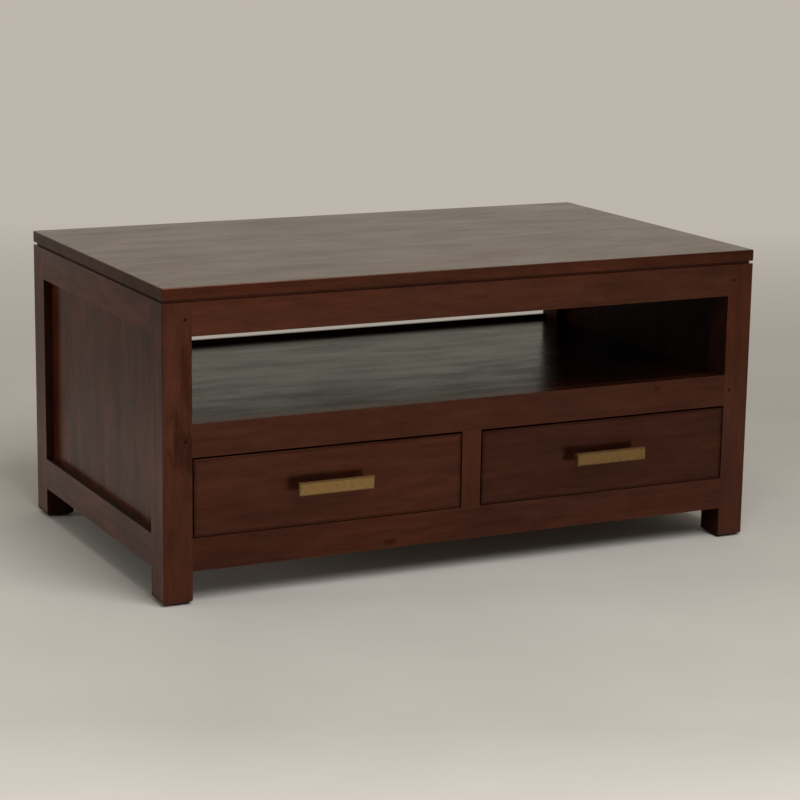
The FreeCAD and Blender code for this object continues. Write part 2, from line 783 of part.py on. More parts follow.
def check_document():
    for thing in doc.Objects:
        if "Invalid" in thing.State or "Error" in thing.State:
            raise RuntimeError(f"{thing.Name} failed: {thing.State}")
    for body in doc.findObjects("PartDesign::Body"):
        for feature in body.Group:
            cuts = feature.TypeId == "PartDesign::Pocket" or "Subtractive" in feature.TypeId
            if cuts and feature.Shape.Volume >= feature.BaseFeature.Shape.Volume:
                raise RuntimeError(f"{feature.Name} in {body.Label} cuts nothing")
    for node in nodes:
        if node.Shape.isNull() or not node.Shape.isValid():
            raise RuntimeError(f"{node.Label} has no valid shape")
    if len(nodes) > MOST_NODES_COUNT:
        raise RuntimeError(f"{len(nodes)} nodes are too many")


def write_parts():
    os.makedirs("parts", exist_ok=True)
    for node in nodes:
        node.Shape.exportStep(f"parts/{node.Label}.step")


make_top_board()
make_top_cleats()
make_top_screws()
for end_name in ENDS:
    for side_name in SIDES:
        make_leg(end_name, side_name)
    for level in RAILS:
        make_cross_rail(end_name, level)
for side_name in SIDES:
    for level in SIDE_RAILS:
        make_side_rail(side_name, level)
    make_side_panel(side_name)
make_rear_panel()
make_divider()
make_shelf()
make_joint_pegs()
make_foot_glides()
make_runners()
make_guides()
make_kickers()
make_drawer_stops()
for side_name in SIDES:
    make_drawer(side_name)
doc.recompute()
check_document()
write_parts()
print(f"{len(nodes)} nodes written")
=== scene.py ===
import math
import random

import bpy
from mathutils import Matrix, Vector


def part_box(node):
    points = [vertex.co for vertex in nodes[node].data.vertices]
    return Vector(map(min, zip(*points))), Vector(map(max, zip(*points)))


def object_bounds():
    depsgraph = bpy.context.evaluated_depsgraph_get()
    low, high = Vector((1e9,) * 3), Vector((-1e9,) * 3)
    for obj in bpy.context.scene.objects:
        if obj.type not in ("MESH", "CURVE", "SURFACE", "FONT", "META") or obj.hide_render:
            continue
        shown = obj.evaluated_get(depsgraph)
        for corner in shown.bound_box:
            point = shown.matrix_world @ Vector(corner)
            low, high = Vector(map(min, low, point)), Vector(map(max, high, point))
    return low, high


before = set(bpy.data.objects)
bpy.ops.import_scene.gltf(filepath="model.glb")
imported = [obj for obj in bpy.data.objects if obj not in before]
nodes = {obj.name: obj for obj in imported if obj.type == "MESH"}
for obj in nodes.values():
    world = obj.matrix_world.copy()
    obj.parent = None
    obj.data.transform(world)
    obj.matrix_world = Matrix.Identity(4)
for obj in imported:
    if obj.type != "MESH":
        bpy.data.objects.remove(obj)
cad_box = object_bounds()
TABLE_MIDDLE = (cad_box[0] + cad_box[1]) / 2
AXES = (Vector((1, 0, 0)), Vector((0, 1, 0)), Vector((0, 0, 1)))


def grain_scale(along, across):
    """How fast a figure changes along the grain and to both sides of it, per metre."""
    return (along, across, across)


def even_scale(each_way):
    return (each_way, each_way, each_way)


# Camera, fitted to the corners of the table in the photograph
CAMERA_TARGET = Vector((0.02285, 0.0125, 0.20509))
CAMERA_DISTANCE = 3.94217
CAMERA_AZIMUTH = math.radians(-26.313)
CAMERA_ELEVATION = math.radians(12.466)
CAMERA_ROLL = math.radians(0.864)
CAMERA_LENS_MM = 108.63
CAMERA_SENSOR_MM = 36.0
VIEW_AHEAD = Vector((-math.sin(CAMERA_AZIMUTH), math.cos(CAMERA_AZIMUTH), 0))
VIEW_RIGHT = Vector((math.cos(CAMERA_AZIMUTH), math.sin(CAMERA_AZIMUTH), 0))

# Floor and backdrop: the reaches run along the photograph's view, or across it, from the middle of the floor
FLOOR_SIZE = 60.0
FLOOR_COLOURS = ((0.3, (0.36, 0.337, 0.315)), (0.7, (0.395, 0.372, 0.349)))
FLOOR_CLOUDS = {"scale": even_scale(1.7), "detail": 4.0, "roughness": 0.6}
FLOOR_ROUGHNESS = 0.8
FLOOR_SHINE = 0.1
BACKDROP_COLOUR = (0.515, 0.473, 0.422)
BACKDROP_REACH = (0.6, 3.4)

# Painted light and shade in the floor's colour: painted shade at the far left, painted fill light on the left
# and a painted glow towards the front, which the lacquer mirrors
LEFT_SHADE_REACH = (-1.9, -1.0)
LEFT_SHADE = 0.5
LEFT_FILL_REACH = (-0.75, -0.2)
LEFT_FILL = 1.33
NEAR_GLOW_REACH = (-0.95, -1.6)
NEAR_GLOW = 1.6

# World light, from its dim side to its bright one
WORLD_COLOURS = ((0.12, 0.125, 0.13), (0.53, 0.505, 0.422))
WORLD_BRIGHT_WAY = Vector((0.7, 0.55, 0.45))
WORLD_TURN = (-0.75, 0.45)

# Lamps: the spread of the beam is in degrees, and a lamp that isn't mirrored shows in no glossy face
LAMPS = {
    "key_lamp": {"place": (0.0, -1.8, 2.25), "size": 2.0, "power": 78.0, "spread": 180.0, "mirrored": True},
    "side_lamp": {"place": (-3.2, 0.6, 0.35), "size": 0.6, "power": 6.5, "spread": 60.0, "mirrored": False},
}
LAMP_AIM = Vector((0.0, 0.0, 0.2))

# Lacquer: how it bends light, how rough it is at its smoothest and how much rougher where it is rubbed,
# how much of the grain it leaves standing, and the warm tint of what it mirrors head on
PLAIN_LACQUER = {"ior": 1.56, "smoothest": 0.16, "rubbed": 0.09, "relief": 0.04}
SHELF_LACQUER = {"ior": 1.19, "smoothest": 0.14, "rubbed": 0.135, "relief": 0.008}
LACQUER_TINT = (1.0, 0.38, 0.25, 1.0)
RELIEF_DEPTH = 0.0004

# How strongly the lacquer mirrors: outside, on faces turned inwards, and the share left on side faces, cut
# there as painted shade
PLAIN_SHINE = 0.66
INNER_SHINE = 0.8
SIDE_SHINE = 0.22

# How much rougher the lacquer is with the fibres, in the pores, on faces turned inwards and under the feet
FIBRE_ROUGHNESS = 0.08
PORE_ROUGHNESS = 0.08
INNER_ROUGHNESS = 0.35
SOLE_ROUGHNESS = 0.5
DRAG_SPAN = (0.35, 0.7)

# Figure of the wood: the scales and the detail of its noises, and the spans that are used of them
FIGURE = {
    "patches": {"scale": grain_scale(8.0, 20.0), "detail": 3.0, "roughness": 0.55},
    "hues": {"scale": grain_scale(3.7, 11.0), "detail": 2.0},
    "streaks": {"scale": grain_scale(2.6, 52.0), "detail": 4.0, "roughness": 0.6},
    "flecks": {"scale": grain_scale(18.0, 90.0), "detail": 3.0, "roughness": 0.6},
    "drags": {"scale": grain_scale(6.0, 22.0), "detail": 4.0, "roughness": 0.6},
    "fibres": {"scale": grain_scale(9.0, 420.0), "detail": 3.0, "roughness": 0.6},
}
PORES = {"scale": grain_scale(45.0, 1600.0), "detail": 1.0}
PORE_SPAN = (0.58, 0.7)
RING_WANDER = {"scale": grain_scale(1.2, 7.0), "detail": 2.0}
RING_SHARPNESS = 3.0
KNOT_SCALE = grain_scale(3.0, 13.0)
KNOT_REACH = (0.02, 0.13)
SWAY = {"scale": grain_scale(4.0, 12.0), "detail": 2.0}
GRAIN_SWAY = 0.02
NOISE_SPAN = (0.3, 0.7)

# How the figure shows: the width and wandering of the rings, how far rings and pores darken the wood,
# the streaks' share of the grain beside the fibres', and how deep the pores are
STAINED_GRAIN = {"ring_width": 0.011, "ring_wander": 5.0, "ring_shade": 0.2, "pore_shade": 0.6,
                 "streak_share": 0.5, "pore_depth": 0.06}
RAW_GRAIN = {"ring_width": 0.008, "ring_wander": 4.0, "ring_shade": 0.25, "pore_shade": 0.7,
             "streak_share": 0.6, "pore_depth": 0.8}

# Stain: its colours from dark grain to pale, and those of knots, worn edges and the hues that lie over it
STAIN_COLOURS = (
    (0.0, (0.0070, 0.0018, 0.0009)),
    (0.35, (0.0155, 0.0038, 0.0017)),
    (0.65, (0.0225, 0.0055, 0.0023)),
    (1.0, (0.0360, 0.0088, 0.0036)),
)
KNOT_COLOUR = (0.004, 0.0013, 0.0009)
KNOT_COVER = 0.7
WORN_COLOUR = (0.05, 0.016, 0.007)
WORN_COVER = 0.35
WORN_EDGE = 0.0016
WORN_STREAKS = (0.4, 0.7)
HUES = ((0.35, (1.0, 0.84, 0.62)), (0.65, (0.8, 0.92, 1.15)))

# Shares of colour and shine left in dark marks, in flecks and on end grain, and the painted shade on faces
# turned inwards and along the drawer fronts' edges by their gaps
MARK_SHADE = 0.6
INNER_PAINTED_SHADE = 0.5
FLECK_SHADES = (0.86, 1.14)
GAP_EDGE_PAINTED_SHADE = 0.45
END_SHADE = 0.7

# Shares of colour alone, on side faces as painted light, in patches, on end grain, and under the feet as
# painted shade
SIDE_PAINTED_LIGHT = 1.5
PATCH_TONES = (0.6, 1.4)
END_TONE = 0.8
SOLE_PAINTED_SHADE = 0.3

# Where faces count as turned sideways, across the grain, inwards or up, and where the soles of the legs end
SQUARE_TURN = (0.7, 0.95)
INNER_TURN = (-0.1, -0.05)
UPWARD_TURN = (0.2, 0.6)
SOLE_REACH = (0.002, 0.012)

# Boards: how their grain runs and where the heart of their log lay
UPRIGHT_GRAIN = ("left_side_panel", "right_side_panel")
HEART_DISTANCE = (0.035, 0.11)
HEART_SHIFT_SHARE = 0.35
HEART_FAR_ALONG = (1.0, 9.0)

# Pieces with a tone, a shine or painted edge shade of their own. Beside the boards' real differences, these
# tones and shines carry painted light and shade across the front, such as the right drawer front and its
# handle darker and the shelf dark as in shade
TONE_RANGE = (0.9, 1.1)
TONES_AND_PAINTED_LIGHT = {
    "top_board": 1.25,
    "shelf_board": 0.4,
    "front_left_leg": 1.2,
    "front_right_leg": 1.3,
    "front_top_rail": 1.2,
    "front_middle_rail": 0.8,
    "front_bottom_rail": 1.1,
    "left_drawer_front": 1.0,
    "right_drawer_front": 0.75,
    "left_drawer_handle_bar": 0.95,
    "right_drawer_handle_bar": 0.76,
}
SHINES_AND_PAINTED_LIGHT = {
    "top_board": 0.76,
    "shelf_board": 0.78,
    "front_top_rail": 1.1,
    "front_middle_rail": 0.95,
    "front_bottom_rail": 0.85,
    "left_drawer_front": 0.95,
    "right_drawer_front": 0.76,
}
# Painted shade along the edges of the drawer fronts, by the gaps round them, and how far it reaches
GAP_SHADED_PIECES = ("left_drawer_front", "right_drawer_front")
GAP_SHADE_REACH = 0.006

# Dark marks in the wood: where each lies, and its half length along the grain and across it
MARKS = {
    "front_left_leg": (
        {"place": (-0.460, -0.2825, 0.330), "length": 0.060, "width": 0.016},
        {"place": (-0.468, -0.2825, 0.245), "length": 0.060, "width": 0.020},
    ),
    "front_bottom_rail": ({"place": (-0.136, -0.2825, 0.060), "length": 0.014, "width": 0.006},),
    "front_middle_rail": ({"place": (0.33, -0.2825, 0.259), "length": 0.010, "width": 0.006},),
}
MOST_MARKS = 2
MARK_FRAYING = 2.5
MARK_FADE = (0.5, 1.0)
NO_MARK = {"place": (0, 0, -1), "length": 0.01, "width": 0.01}

# Bare wood
INNER_WOOD = {
    "colours": ((0.1, (0.13, 0.058, 0.028)), (0.5, (0.24, 0.115, 0.055)), (0.9, (0.34, 0.18, 0.09))),
    "roughness": 0.6,
}
DRAWER_BOX_WOOD = {
    "colours": ((0.1, (0.30, 0.17, 0.08)), (0.5, (0.46, 0.29, 0.15)), (0.9, (0.58, 0.40, 0.23))),
    "roughness": 0.5,
}
RAW_PATCH_SPAN = (0.25, 0.75)
RAW_PATCH_TONES = (0.85, 1.15)
RAW_FIBRE_ROUGHNESS = 0.15
RAW_RELIEF = {"strength": 0.3, "distance": 0.0006}

# End grain of the pegs
PEG_SPOTS = {"scale": (900.0, 60.0, 900.0), "detail": 3.0}
PEG_COLOURS = ((0.3, (0.006, 0.0020, 0.0012)), (0.7, (0.014, 0.0040, 0.0022)))
PEG_ROUGHNESS = (0.5, 0.7)
PEG_RELIEF = {"strength": 0.2, "distance": 0.0004}
PEG_SHINE = 0.12

# Brass, and painted shade on its edges and upper faces that dims the lamp's glint there
BRASS_CLOUDS = {"scale": even_scale(130.0), "detail": 5.0, "roughness": 0.65}
BRASS_SPECKS = {"scale": even_scale(700.0), "detail": 2.0}
BRASS_BRUSHING = {"scale": grain_scale(40.0, 900.0), "detail": 2.0}
BRASS_COLOURS = ((0.3, (0.25, 0.15, 0.055)), (0.5, (0.32, 0.194, 0.073)), (0.7, (0.38, 0.238, 0.092)))
BRASS_ROUGHNESS = (0.55, 0.42)
BRASS_RELIEF = {"strength": 0.07, "distance": 0.0004}
CLOUD_SHARE = 0.8
SPECK_HEIGHT = 0.5
PAINTED_SHADE_COLOUR = (0.11, 0.063, 0.024)
PAINTED_SHADE_COVER = 0.85
PAINTED_SHADE_ROUGHNESS = 0.35

# Screws and glides
SCREW_SCUFFS = {"scale": even_scale(900.0), "detail": 3.0}
SCREW_COLOURS = ((0.3, (0.30, 0.29, 0.27)), (0.7, (0.55, 0.54, 0.51)))
SCREW_ROUGHNESS = (0.28, 0.45)
SCREW_RELIEF = {"strength": 0.15, "distance": 0.0003}
GLIDE_GRAIN = {"scale": even_scale(1200.0), "detail": 2.0}
GLIDE_SCUFFS = {"scale": even_scale(150.0), "detail": 4.0}
GLIDE_COLOURS = ((0.35, (0.010, 0.0095, 0.009)), (0.75, (0.032, 0.030, 0.028)))
GLIDE_ROUGHNESS = (0.45, 0.65)
GLIDE_RELIEF = {"strength": 0.2, "distance": 0.0003}
SCUFF_SPAN = (0.2, 0.8)

# The colour sockets of a mix node, which share their names with the sockets for other kinds of value
MIX_FACTOR, MIX_FIRST, MIX_SECOND, MIX_RESULT = 0, 6, 7, 2


# Node helpers


def add(tree, kind, inputs=None, **settings):
    """A new node, with its settings and with its inputs set to values or linked to sockets."""
    made = tree.nodes.new(kind)
    for name, value in settings.items():
        setattr(made, name, value)
    for key, value in (inputs or {}).items():
        if isinstance(value, bpy.types.NodeSocket):
            tree.links.new(value, made.inputs[key])
        else:
            made.inputs[key].default_value = value
    return made


def math_node(tree, operation, *values, clamp=False):
    made = add(tree, "ShaderNodeMath", dict(enumerate(values)), operation=operation, use_clamp=clamp)
    return made.outputs[0]


def product(tree, values):
    made = values[0]
    for value in values[1:]:
        made = math_node(tree, "MULTIPLY", made, value)
    return made


def vector_math(tree, operation, *values):
    made = add(tree, "ShaderNodeVectorMath", dict(enumerate(values)), operation=operation)
    scalar = operation in ("DOT_PRODUCT", "LENGTH")
    return made.outputs["Value" if scalar else "Vector"]


def own(tree, name, output="Vector"):
    """A value that each piece carries itself."""
    return add(tree, "ShaderNodeAttribute", attribute_type="OBJECT", attribute_name=name).outputs[output]


def noise(tree, vector, scale, detail, roughness=0.5):
    """Noise whose scale may differ along each axis, from zero to one."""
    stretched = vector_math(tree, "MULTIPLY", vector, scale)
    made = add(tree, "ShaderNodeTexNoise",
               {"Vector": stretched, "Scale": 1.0, "Detail": detail, "Roughness": roughness})
    return made.outputs["Fac"]


def spread(tree, value, low, high, new_low=0.0, new_high=1.0):
    """A value mapped from one range to another and held inside it."""
    names = ("Value", "From Min", "From Max", "To Min", "To Max")
    made = add(tree, "ShaderNodeMapRange", dict(zip(names, (value, low, high, new_low, new_high))))
    return made.outputs["Result"]


def fade(tree, mask, full):
    """One where a mask is zero, and a given value where the mask is one."""
    return spread(tree, mask, 0.0, 1.0, 1.0, full)


def ramp(tree, value, stops):
    """A colour that follows a value through stops of (place, colour)."""
    made = add(tree, "ShaderNodeValToRGB", {"Fac": value})
    elements = made.color_ramp.elements
    while len(elements) < len(stops):
        elements.new(1.0)
    for element, (place, colour) in zip(elements, stops):
        element.position = place
        element.color = (*colour, 1.0)
    return made.outputs["Color"]


def mix(tree, factor, first, second, blend="MIX"):
    made = add(tree, "ShaderNodeMix", data_type="RGBA", blend_type=blend)
    for key, value in ((MIX_FACTOR, factor), (MIX_FIRST, first), (MIX_SECOND, second)):
        if isinstance(value, bpy.types.NodeSocket):
            tree.links.new(value, made.inputs[key])
        else:
            made.inputs[key].default_value = value if isinstance(value, float) else (*value, 1.0)
    return made.outputs[MIX_RESULT]


def times(tree, colour, factor):
    """A colour multiplied by another, or by a single value."""
    if factor.type == "VALUE":
        channels = dict.fromkeys(("Red", "Green", "Blue"), factor)
        factor = add(tree, "ShaderNodeCombineColor", channels).outputs[0]
    return mix(tree, 1.0, colour, factor, "MULTIPLY")


def new_material(name):
    material = bpy.data.materials.new(name)
    material.use_nodes = True
    return material, material.node_tree, material.node_tree.nodes["Principled BSDF"]


def plug(tree, shader, **sockets):
    for name, socket in sockets.items():
        tree.links.new(socket, shader.inputs[name.replace("_", " ")])


def bump(tree, height, strength, distance):
    made = add(tree, "ShaderNodeBump", {"Height": height, "Strength": strength, "Distance": distance})
    return made.outputs["Normal"]


# Places and faces


def object_place(tree):
    return add(tree, "ShaderNodeTexCoord").outputs["Object"]


def face_normal(tree):
    return add(tree, "ShaderNodeTexCoord").outputs["Normal"]


def split(tree, vector):
    """The X, Y and Z of a vector."""
    return add(tree, "ShaderNodeSeparateXYZ", {0: vector}).outputs


def edge_nearness(tree, reach):
    """One on the outer edges of a piece's box, and zero from a reach away."""
    from_middle = vector_math(tree, "SUBTRACT", object_place(tree), own(tree, "box_middle"))
    inside = vector_math(tree, "SUBTRACT", own(tree, "box_half"), vector_math(tree, "ABSOLUTE", from_middle))
    x, y, z = split(tree, inside)
    nearer = math_node(tree, "MINIMUM", x, y)
    farther = math_node(tree, "MAXIMUM", x, y)
    second = math_node(tree, "MAXIMUM", nearer, math_node(tree, "MINIMUM", farther, z))
    return spread(tree, second, 0.0, reach, 1.0, 0.0)


def sole(tree):
    """One on the ends of the legs, which are painted darker as painted shade where they meet the floor, and
    zero just above them.
    """
    level = split(tree, object_place(tree))["Z"]
    return spread(tree, level, *SOLE_REACH, 1.0, 0.0)


def inner_face(tree):
    """One on the faces that look towards the middle of the table, where the lacquer is rougher and where
    colour and shine are cut as painted shade.
    """
    outwards = vector_math(tree, "SUBTRACT", object_place(tree), TABLE_MIDDLE)
    facing = vector_math(tree, "DOT_PRODUCT", face_normal(tree), outwards)
    return spread(tree, facing, *INNER_TURN, 1.0, 0.0)


def side_face(tree):
    """One on the faces that look left or right, whose colour is painted paler and whose shine is cut, as
    painted light and shade on those faces.
    """
    sideways = split(tree, face_normal(tree))["X"]
    return spread(tree, math_node(tree, "ABSOLUTE", sideways), *SQUARE_TURN)


def upper_face(tree):
    return spread(tree, split(tree, face_normal(tree))["Z"], *UPWARD_TURN)


def end_grain(tree):
    """One on the faces that cut across the grain."""
    facing = vector_math(tree, "DOT_PRODUCT", face_normal(tree), own(tree, "grain_along"))
    return spread(tree, math_node(tree, "ABSOLUTE", facing), *SQUARE_TURN)


def gap_edge_shade(tree):
    """Painted shade along the edges of the drawer fronts, by the gaps round them, on the pieces that have it.
    """
    return math_node(tree, "MULTIPLY", edge_nearness(tree, GAP_SHADE_REACH), own(tree, "gap_edge_shade", "Fac"))


# Figure of the wood


def board_place(tree):
    """Where a point lies in its board's log: along the grain, across it, and through it, from the heart."""
    from_heart = vector_math(tree, "SUBTRACT", object_place(tree), own(tree, "heart"))
    parts = [vector_math(tree, "DOT_PRODUCT", from_heart, own(tree, f"grain_{way}"))
             for way in ("along", "across", "through")]
    return add(tree, "ShaderNodeCombineXYZ", dict(zip("XYZ", parts))).outputs[0]


def bent_place(tree):
    """The place in the log, with the grain swaying to each side."""
    place = board_place(tree)
    aside = math_node(tree, "MULTIPLY_ADD", noise(tree, place, **SWAY), GRAIN_SWAY, -GRAIN_SWAY / 2)
    shift = add(tree, "ShaderNodeCombineXYZ", {"Y": aside, "Z": aside}).outputs[0]
    return vector_math(tree, "ADD", place, shift)


def year_rings(tree, place, grain):
    """From zero, where a ring of the log begins, to one where it ends."""
    _, across, through = split(tree, place)
    flat = add(tree, "ShaderNodeCombineXYZ", {"Y": across, "Z": through}).outputs[0]
    rings = math_node(tree, "DIVIDE", vector_math(tree, "LENGTH", flat), grain["ring_width"])
    wander = noise(tree, place, **RING_WANDER)
    part = math_node(tree, "FRACT", math_node(tree, "MULTIPLY_ADD", wander, grain["ring_wander"], rings))
    return math_node(tree, "POWER", part, RING_SHARPNESS)


def figure(tree, grain):
    """The parts of a wood's figure, each from zero to one."""
    place = bent_place(tree)
    parts = {name: noise(tree, place, **setting) for name, setting in FIGURE.items()}
    parts["rings"] = year_rings(tree, place, grain)
    parts["pores"] = spread(tree, noise(tree, place, **PORES), *PORE_SPAN)
    knots = add(tree, "ShaderNodeTexVoronoi",
                {"Vector": vector_math(tree, "MULTIPLY", place, KNOT_SCALE), "Scale": 1.0})
    parts["knots"] = spread(tree, knots.outputs["Distance"], *KNOT_REACH, 1.0, 0.0)
    return parts


def streaked(tree, streaks, fibres, grain):
    """The streaks and the fibres as one grain, from dark to pale."""
    fine = math_node(tree, "MULTIPLY", fibres, 1.0 - grain["streak_share"])
    return math_node(tree, "MULTIPLY_ADD", streaks, grain["streak_share"], fine)


def ringed(tree, depth, rings, grain):
    """A grain with darker lines where the rings end."""
    return math_node(tree, "MULTIPLY_ADD", rings, -grain["ring_shade"], depth, clamp=True)


def dark_marks(tree, flecks):
    """One in the middle of a piece's dark marks, frayed by the flecks in the wood."""
    place = bent_place(tree)
    starts, ends = (edge + MARK_FRAYING / 2 for edge in MARK_FADE)
    darkest = None
    for number in range(MOST_MARKS):
        offset = vector_math(tree, "SUBTRACT", place, own(tree, f"mark_{number}"))
        shares = vector_math(tree, "DIVIDE", offset, own(tree, f"mark_reach_{number}"))
        away = vector_math(tree, "LENGTH", shares)
        frayed = math_node(tree, "MULTIPLY_ADD", flecks, MARK_FRAYING, away)
        mark = spread(tree, frayed, starts, ends, 1.0, 0.0)
        darkest = mark if darkest is None else math_node(tree, "MAXIMUM", darkest, mark)
    return darkest


# Stained wood


def stain_and_painted_shades(tree, parts):
    """The share of the stain's colour and of the lacquer's shine that is left at each place, with painted
    shade on faces turned inwards and along the drawer fronts' edges.
    """
    return product(tree, [
        fade(tree, dark_marks(tree, parts["flecks"]), MARK_SHADE),
        fade(tree, inner_face(tree), INNER_PAINTED_SHADE),
        spread(tree, parts["flecks"], *NOISE_SPAN, *FLECK_SHADES),
        fade(tree, gap_edge_shade(tree), GAP_EDGE_PAINTED_SHADE),
        fade(tree, end_grain(tree), END_SHADE),
    ])


def stain_colour(tree, parts, depth, shades):
    colour = ramp(tree, ringed(tree, depth, parts["rings"], STAINED_GRAIN), STAIN_COLOURS)
    colour = mix(tree, math_node(tree, "MULTIPLY", parts["knots"], KNOT_COVER), colour, KNOT_COLOUR)
    # This tone holds painted light and shade besides the wood's own: paler side faces, darker leg ends, the
    # shade inside and by the drawer gaps, and the per-piece tones
    tone = product(tree, [
        own(tree, "tone", "Fac"),
        shades,
        fade(tree, side_face(tree), SIDE_PAINTED_LIGHT),
        spread(tree, parts["patches"], *NOISE_SPAN, *PATCH_TONES),
        fade(tree, parts["pores"], STAINED_GRAIN["pore_shade"]),
        fade(tree, end_grain(tree), END_TONE),
        fade(tree, sole(tree), SOLE_PAINTED_SHADE),
    ])
    colour = times(tree, colour, tone)
    colour = times(tree, colour, ramp(tree, parts["hues"], HUES))
    worn = product(tree, [
        edge_nearness(tree, WORN_EDGE),
        spread(tree, parts["streaks"], *WORN_STREAKS),
        WORN_COVER,
    ])
    return mix(tree, worn, colour, WORN_COLOUR)


def lacquer_gloss(tree, parts, lacquer):
    """How rough the lacquer is at each place."""
    gloss = lacquer["smoothest"]
    for mask, rougher in (
        (parts["fibres"], FIBRE_ROUGHNESS),
        (parts["pores"], PORE_ROUGHNESS),
        (spread(tree, parts["drags"], *DRAG_SPAN), lacquer["rubbed"]),
        (inner_face(tree), INNER_ROUGHNESS),
        (sole(tree), SOLE_ROUGHNESS),
    ):
        gloss = math_node(tree, "MULTIPLY_ADD", mask, rougher, gloss)
    return gloss


def lacquer_film(tree, shades):
    """How strongly the lacquer mirrors at each place, set piece by piece and cut as painted shade inside, on
    side faces and along the drawer fronts' edges.
    """
    return product(tree, [
        own(tree, "shine", "Fac"),
        shades,
        spread(tree, inner_face(tree), 0.0, 1.0, PLAIN_SHINE, INNER_SHINE),
        fade(tree, side_face(tree), SIDE_SHINE),
    ])


def stained_wood(name, lacquer):
    """Dark red-brown stain under a satin lacquer."""
    material, tree, shader = new_material(name)
    parts = figure(tree, STAINED_GRAIN)
    streaks = spread(tree, parts["streaks"], *NOISE_SPAN)
    depth = streaked(tree, streaks, parts["fibres"], STAINED_GRAIN)
    shades = stain_and_painted_shades(tree, parts)
    height = math_node(tree, "MULTIPLY_ADD", parts["pores"], -STAINED_GRAIN["pore_depth"], depth)
    plug(
        tree, shader,
        Base_Color=stain_colour(tree, parts, depth, shades),
        Roughness=lacquer_gloss(tree, parts, lacquer),
        Normal=bump(tree, height, lacquer["relief"], RELIEF_DEPTH),
        Specular_IOR_Level=lacquer_film(tree, shades),
    )
    shader.inputs["IOR"].default_value = lacquer["ior"]
    shader.inputs["Specular Tint"].default_value = LACQUER_TINT
    return material


# Other wood


def raw_wood(name, wood):
    """Bare wood of the pieces that don't show from outside."""
    material, tree, shader = new_material(name)
    parts = figure(tree, RAW_GRAIN)
    depth = streaked(tree, parts["streaks"], parts["fibres"], RAW_GRAIN)
    colour = ramp(tree, ringed(tree, depth, parts["rings"], RAW_GRAIN), wood["colours"])
    tone = product(tree, [
        own(tree, "tone", "Fac"),
        spread(tree, parts["patches"], *RAW_PATCH_SPAN, *RAW_PATCH_TONES),
        fade(tree, parts["pores"], RAW_GRAIN["pore_shade"]),
    ])
    gloss = math_node(tree, "MULTIPLY_ADD", parts["fibres"], RAW_FIBRE_ROUGHNESS, wood["roughness"])
    height = math_node(tree, "MULTIPLY_ADD", parts["pores"], -RAW_GRAIN["pore_depth"], parts["fibres"])
    relief = bump(tree, height, **RAW_RELIEF)
    plug(tree, shader, Base_Color=times(tree, colour, tone), Roughness=gloss, Normal=relief)
    return material


def peg_wood():
    """End grain of the pegs, which drinks more stain."""
    material, tree, shader = new_material("peg_wood_finish")
    spots = noise(tree, object_place(tree), **PEG_SPOTS)
    colour = ramp(tree, spots, PEG_COLOURS)
    gloss = spread(tree, spots, 0.0, 1.0, *PEG_ROUGHNESS)
    plug(tree, shader, Base_Color=colour, Roughness=gloss, Normal=bump(tree, spots, **PEG_RELIEF))
    shader.inputs["Specular IOR Level"].default_value = PEG_SHINE
    shader.inputs["Specular Tint"].default_value = LACQUER_TINT
    return material


# Metal and plastic


def brass():
    """Antique brass, mottled brown with age, with painted shade along the edges and on the upper faces."""
    material, tree, shader = new_material("brass_finish")
    place = object_place(tree)
    clouds = noise(tree, place, **BRASS_CLOUDS)
    specks = noise(tree, place, **BRASS_SPECKS)
    brushing = noise(tree, place, **BRASS_BRUSHING)
    cloudy = math_node(tree, "MULTIPLY", clouds, CLOUD_SHARE)
    age = math_node(tree, "MULTIPLY_ADD", specks, 1.0 - CLOUD_SHARE, cloudy)
    # Painted shade on the edges and upper faces, which dims the lamp's glint on the chamfers
    painted_shade = math_node(tree, "MAXIMUM", edge_nearness(tree, WORN_EDGE), upper_face(tree))
    cover = math_node(tree, "MULTIPLY", painted_shade, PAINTED_SHADE_COVER)
    colour = mix(tree, cover, ramp(tree, age, BRASS_COLOURS), PAINTED_SHADE_COLOUR)
    # The handle's tone: the right handle is darker as painted shade
    colour = times(tree, colour, own(tree, "tone", "Fac"))
    gloss = spread(tree, age, *NOISE_SPAN, *BRASS_ROUGHNESS)
    gloss = math_node(tree, "MULTIPLY_ADD", painted_shade, PAINTED_SHADE_ROUGHNESS, gloss)
    height = math_node(tree, "MULTIPLY_ADD", specks, SPECK_HEIGHT, brushing)
    plug(tree, shader, Base_Color=colour, Roughness=gloss, Normal=bump(tree, height, **BRASS_RELIEF))
    shader.inputs["Metallic"].default_value = 1.0
    return material


def screw_steel():
    """Zinc-plated steel with scuffs."""
    material, tree, shader = new_material("screw_steel_finish")
    scuffs = noise(tree, object_place(tree), **SCREW_SCUFFS)
    colour = ramp(tree, scuffs, SCREW_COLOURS)
    gloss = spread(tree, scuffs, *SCUFF_SPAN, *SCREW_ROUGHNESS)
    plug(tree, shader, Base_Color=colour, Roughness=gloss, Normal=bump(tree, scuffs, **SCREW_RELIEF))
    shader.inputs["Metallic"].default_value = 1.0
    return material


def glide_plastic():
    """Black plastic with a fine grain and scuffs."""
    material, tree, shader = new_material("glide_plastic_finish")
    place = object_place(tree)
    grain = noise(tree, place, **GLIDE_GRAIN)
    scuffs = noise(tree, place, **GLIDE_SCUFFS)
    colour = ramp(tree, scuffs, GLIDE_COLOURS)
    gloss = spread(tree, scuffs, *SCUFF_SPAN, *GLIDE_ROUGHNESS)
    plug(tree, shader, Base_Color=colour, Roughness=gloss, Normal=bump(tree, grain, **GLIDE_RELIEF))
    return material


# Dressing the nodes


